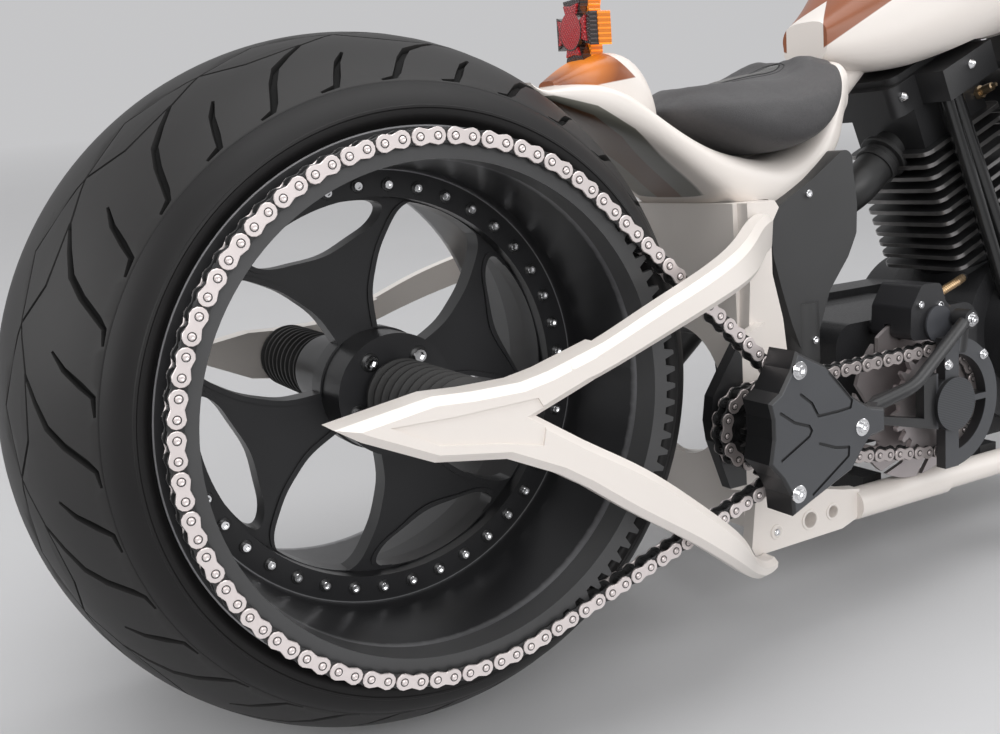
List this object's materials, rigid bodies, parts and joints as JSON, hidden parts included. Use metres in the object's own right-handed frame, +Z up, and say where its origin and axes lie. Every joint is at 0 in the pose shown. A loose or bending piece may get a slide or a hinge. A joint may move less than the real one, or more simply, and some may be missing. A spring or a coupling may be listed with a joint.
{
  "type": "custom chopper motorcycle",
  "caption": "Long low custom motorcycle with a very wide rear tyre, outboard ring sprocket and chain, forked swingarms, solo saddle and raked fork, leaning on its side stand.",
  "frame": {"origin": "on the ground below the middle of the whole motorcycle's box", "axes": "+X forward, +Y to the rider's left, +Z up; the motorcycle leans 9 degrees to its left on the side stand"},
  "size_m": [2.6004, 0.894, 1.1251],
  "materials": {
    "white_paint": "satin warm white",
    "black_satin": "satin black",
    "black_gloss": "gloss black",
    "tyre": "rubber",
    "steel": "satin",
    "chain_steel": "satin",
    "rubber": "matte",
    "leather": "grained",
    "lens_red": "glossy",
    "fins": "black with bright edges"
  },
  "bodies": {
    "frame": {"rear_axle": "steel", "bellows_right": "rubber", "bellows_left": "rubber", "swingarm_right": "white_paint", "swingarm_left": "white_paint", "drive_chain": "chain_steel", "inner_chain": "chain_steel", "jackshaft": "black_satin", "output_rotor": "steel", "rotor_caliper": "black_satin", "drive_cover": "black_satin", "frame_side_right": "white_paint", "frame_side_left": "white_paint", "frame_spine": "white_paint", "tail_cowl": "white_paint", "seat_pad": "leather", "tail_light": "lens_red", "fuel_tank": "white_paint", "oil_tank": "black_satin", "crankcase": "black_satin", "rear_cylinder": "fins", "front_cylinder": "fins", "pushrod_tubes": "black_gloss", "air_cleaner": "black_satin", "gearbox": "black_satin", "primary_cover": "black_satin", "exhaust_pipes": "black_satin", "foot_controls_right": "black_satin", "foot_controls_left": "black_satin"},
    "rear_wheel": {"rear_tyre": "tyre", "rear_rim": "black_satin", "sprocket_ring": "black_satin", "rear_wheel_centre": "black_satin"},
    "fork": {"fork_clamps": "black_satin", "fork_leg_right": "black_gloss", "fork_leg_left": "black_gloss", "handlebar": "black_satin", "headlight": "black_gloss", "front_axle": "steel", "front_caliper": "black_satin"},
    "front_wheel": {"front_tyre": "tyre", "front_rim": "black_satin", "front_wheel_centre": "black_satin", "front_disc": "steel"},
    "side_stand": {"side_stand": "black_satin"}
  },
  "joints": [
    {"name": "rear_wheel_spin", "type": "hinge", "parent": "frame", "child": "rear_wheel", "pos_m": [-0.96372, -0.08217, 0.33519], "axis": [0, 0.9877, -0.1564], "continuous": true},
    {"name": "steering", "type": "hinge", "parent": "frame", "child": "fork", "pos_m": [0.40928, 0.00035, 0.8562], "axis": [-0.6428, 0.1198, 0.7566], "range_deg": [-30, 30]},
    {"name": "front_wheel_spin", "type": "hinge", "parent": "fork", "child": "front_wheel", "pos_m": [0.95622, -0.08132, 0.34055], "axis": [0, 0.9877, -0.1564], "continuous": true},
    {"name": "side_stand_fold", "type": "hinge", "parent": "frame", "child": "side_stand", "pos_m": [-0.20372, 0.03253, 0.0877], "axis": [-0.03, 0.5387, 0.842], "range_deg": [0, 95]}
  ]
}
